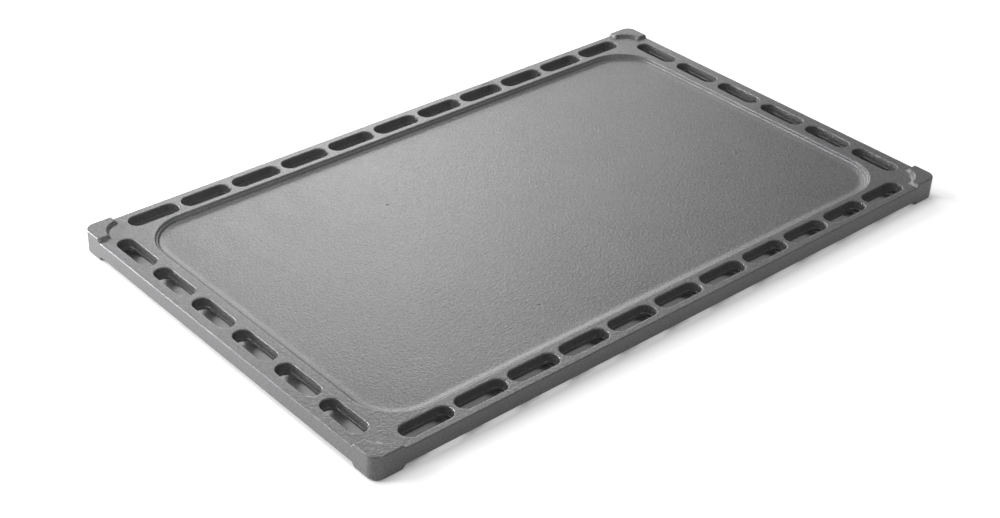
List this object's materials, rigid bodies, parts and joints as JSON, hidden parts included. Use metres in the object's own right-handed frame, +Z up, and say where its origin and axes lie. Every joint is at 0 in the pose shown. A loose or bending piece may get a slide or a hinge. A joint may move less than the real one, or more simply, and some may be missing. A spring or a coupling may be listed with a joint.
{
  "type": "griddle plate",
  "caption": "Flat rectangular griddle plate with a shallow stepped pan, slotted rims for grip and airflow, raised corner lugs and corner feet.",
  "frame": {"origin": "centre of the plate's outline, on the plane of the undersides of its four feet", "axes": "+Z up, out of the cooking face; +X along the long sides; +Y along the short sides"},
  "size_m": [0.53, 0.325, 0.018],
  "materials": {
    "coated_casting": "satin dark grey non-stick coat over fine cast texture"
  },
  "bodies": {
    "root": {"cooking_deck": "coated_casting", "front_slotted_rim": "coated_casting", "back_slotted_rim": "coated_casting", "left_slotted_rim": "coated_casting", "right_slotted_rim": "coated_casting", "front_left_corner": "coated_casting", "front_right_corner": "coated_casting", "back_left_corner": "coated_casting", "back_right_corner": "coated_casting"}
  },
  "joints": []
}
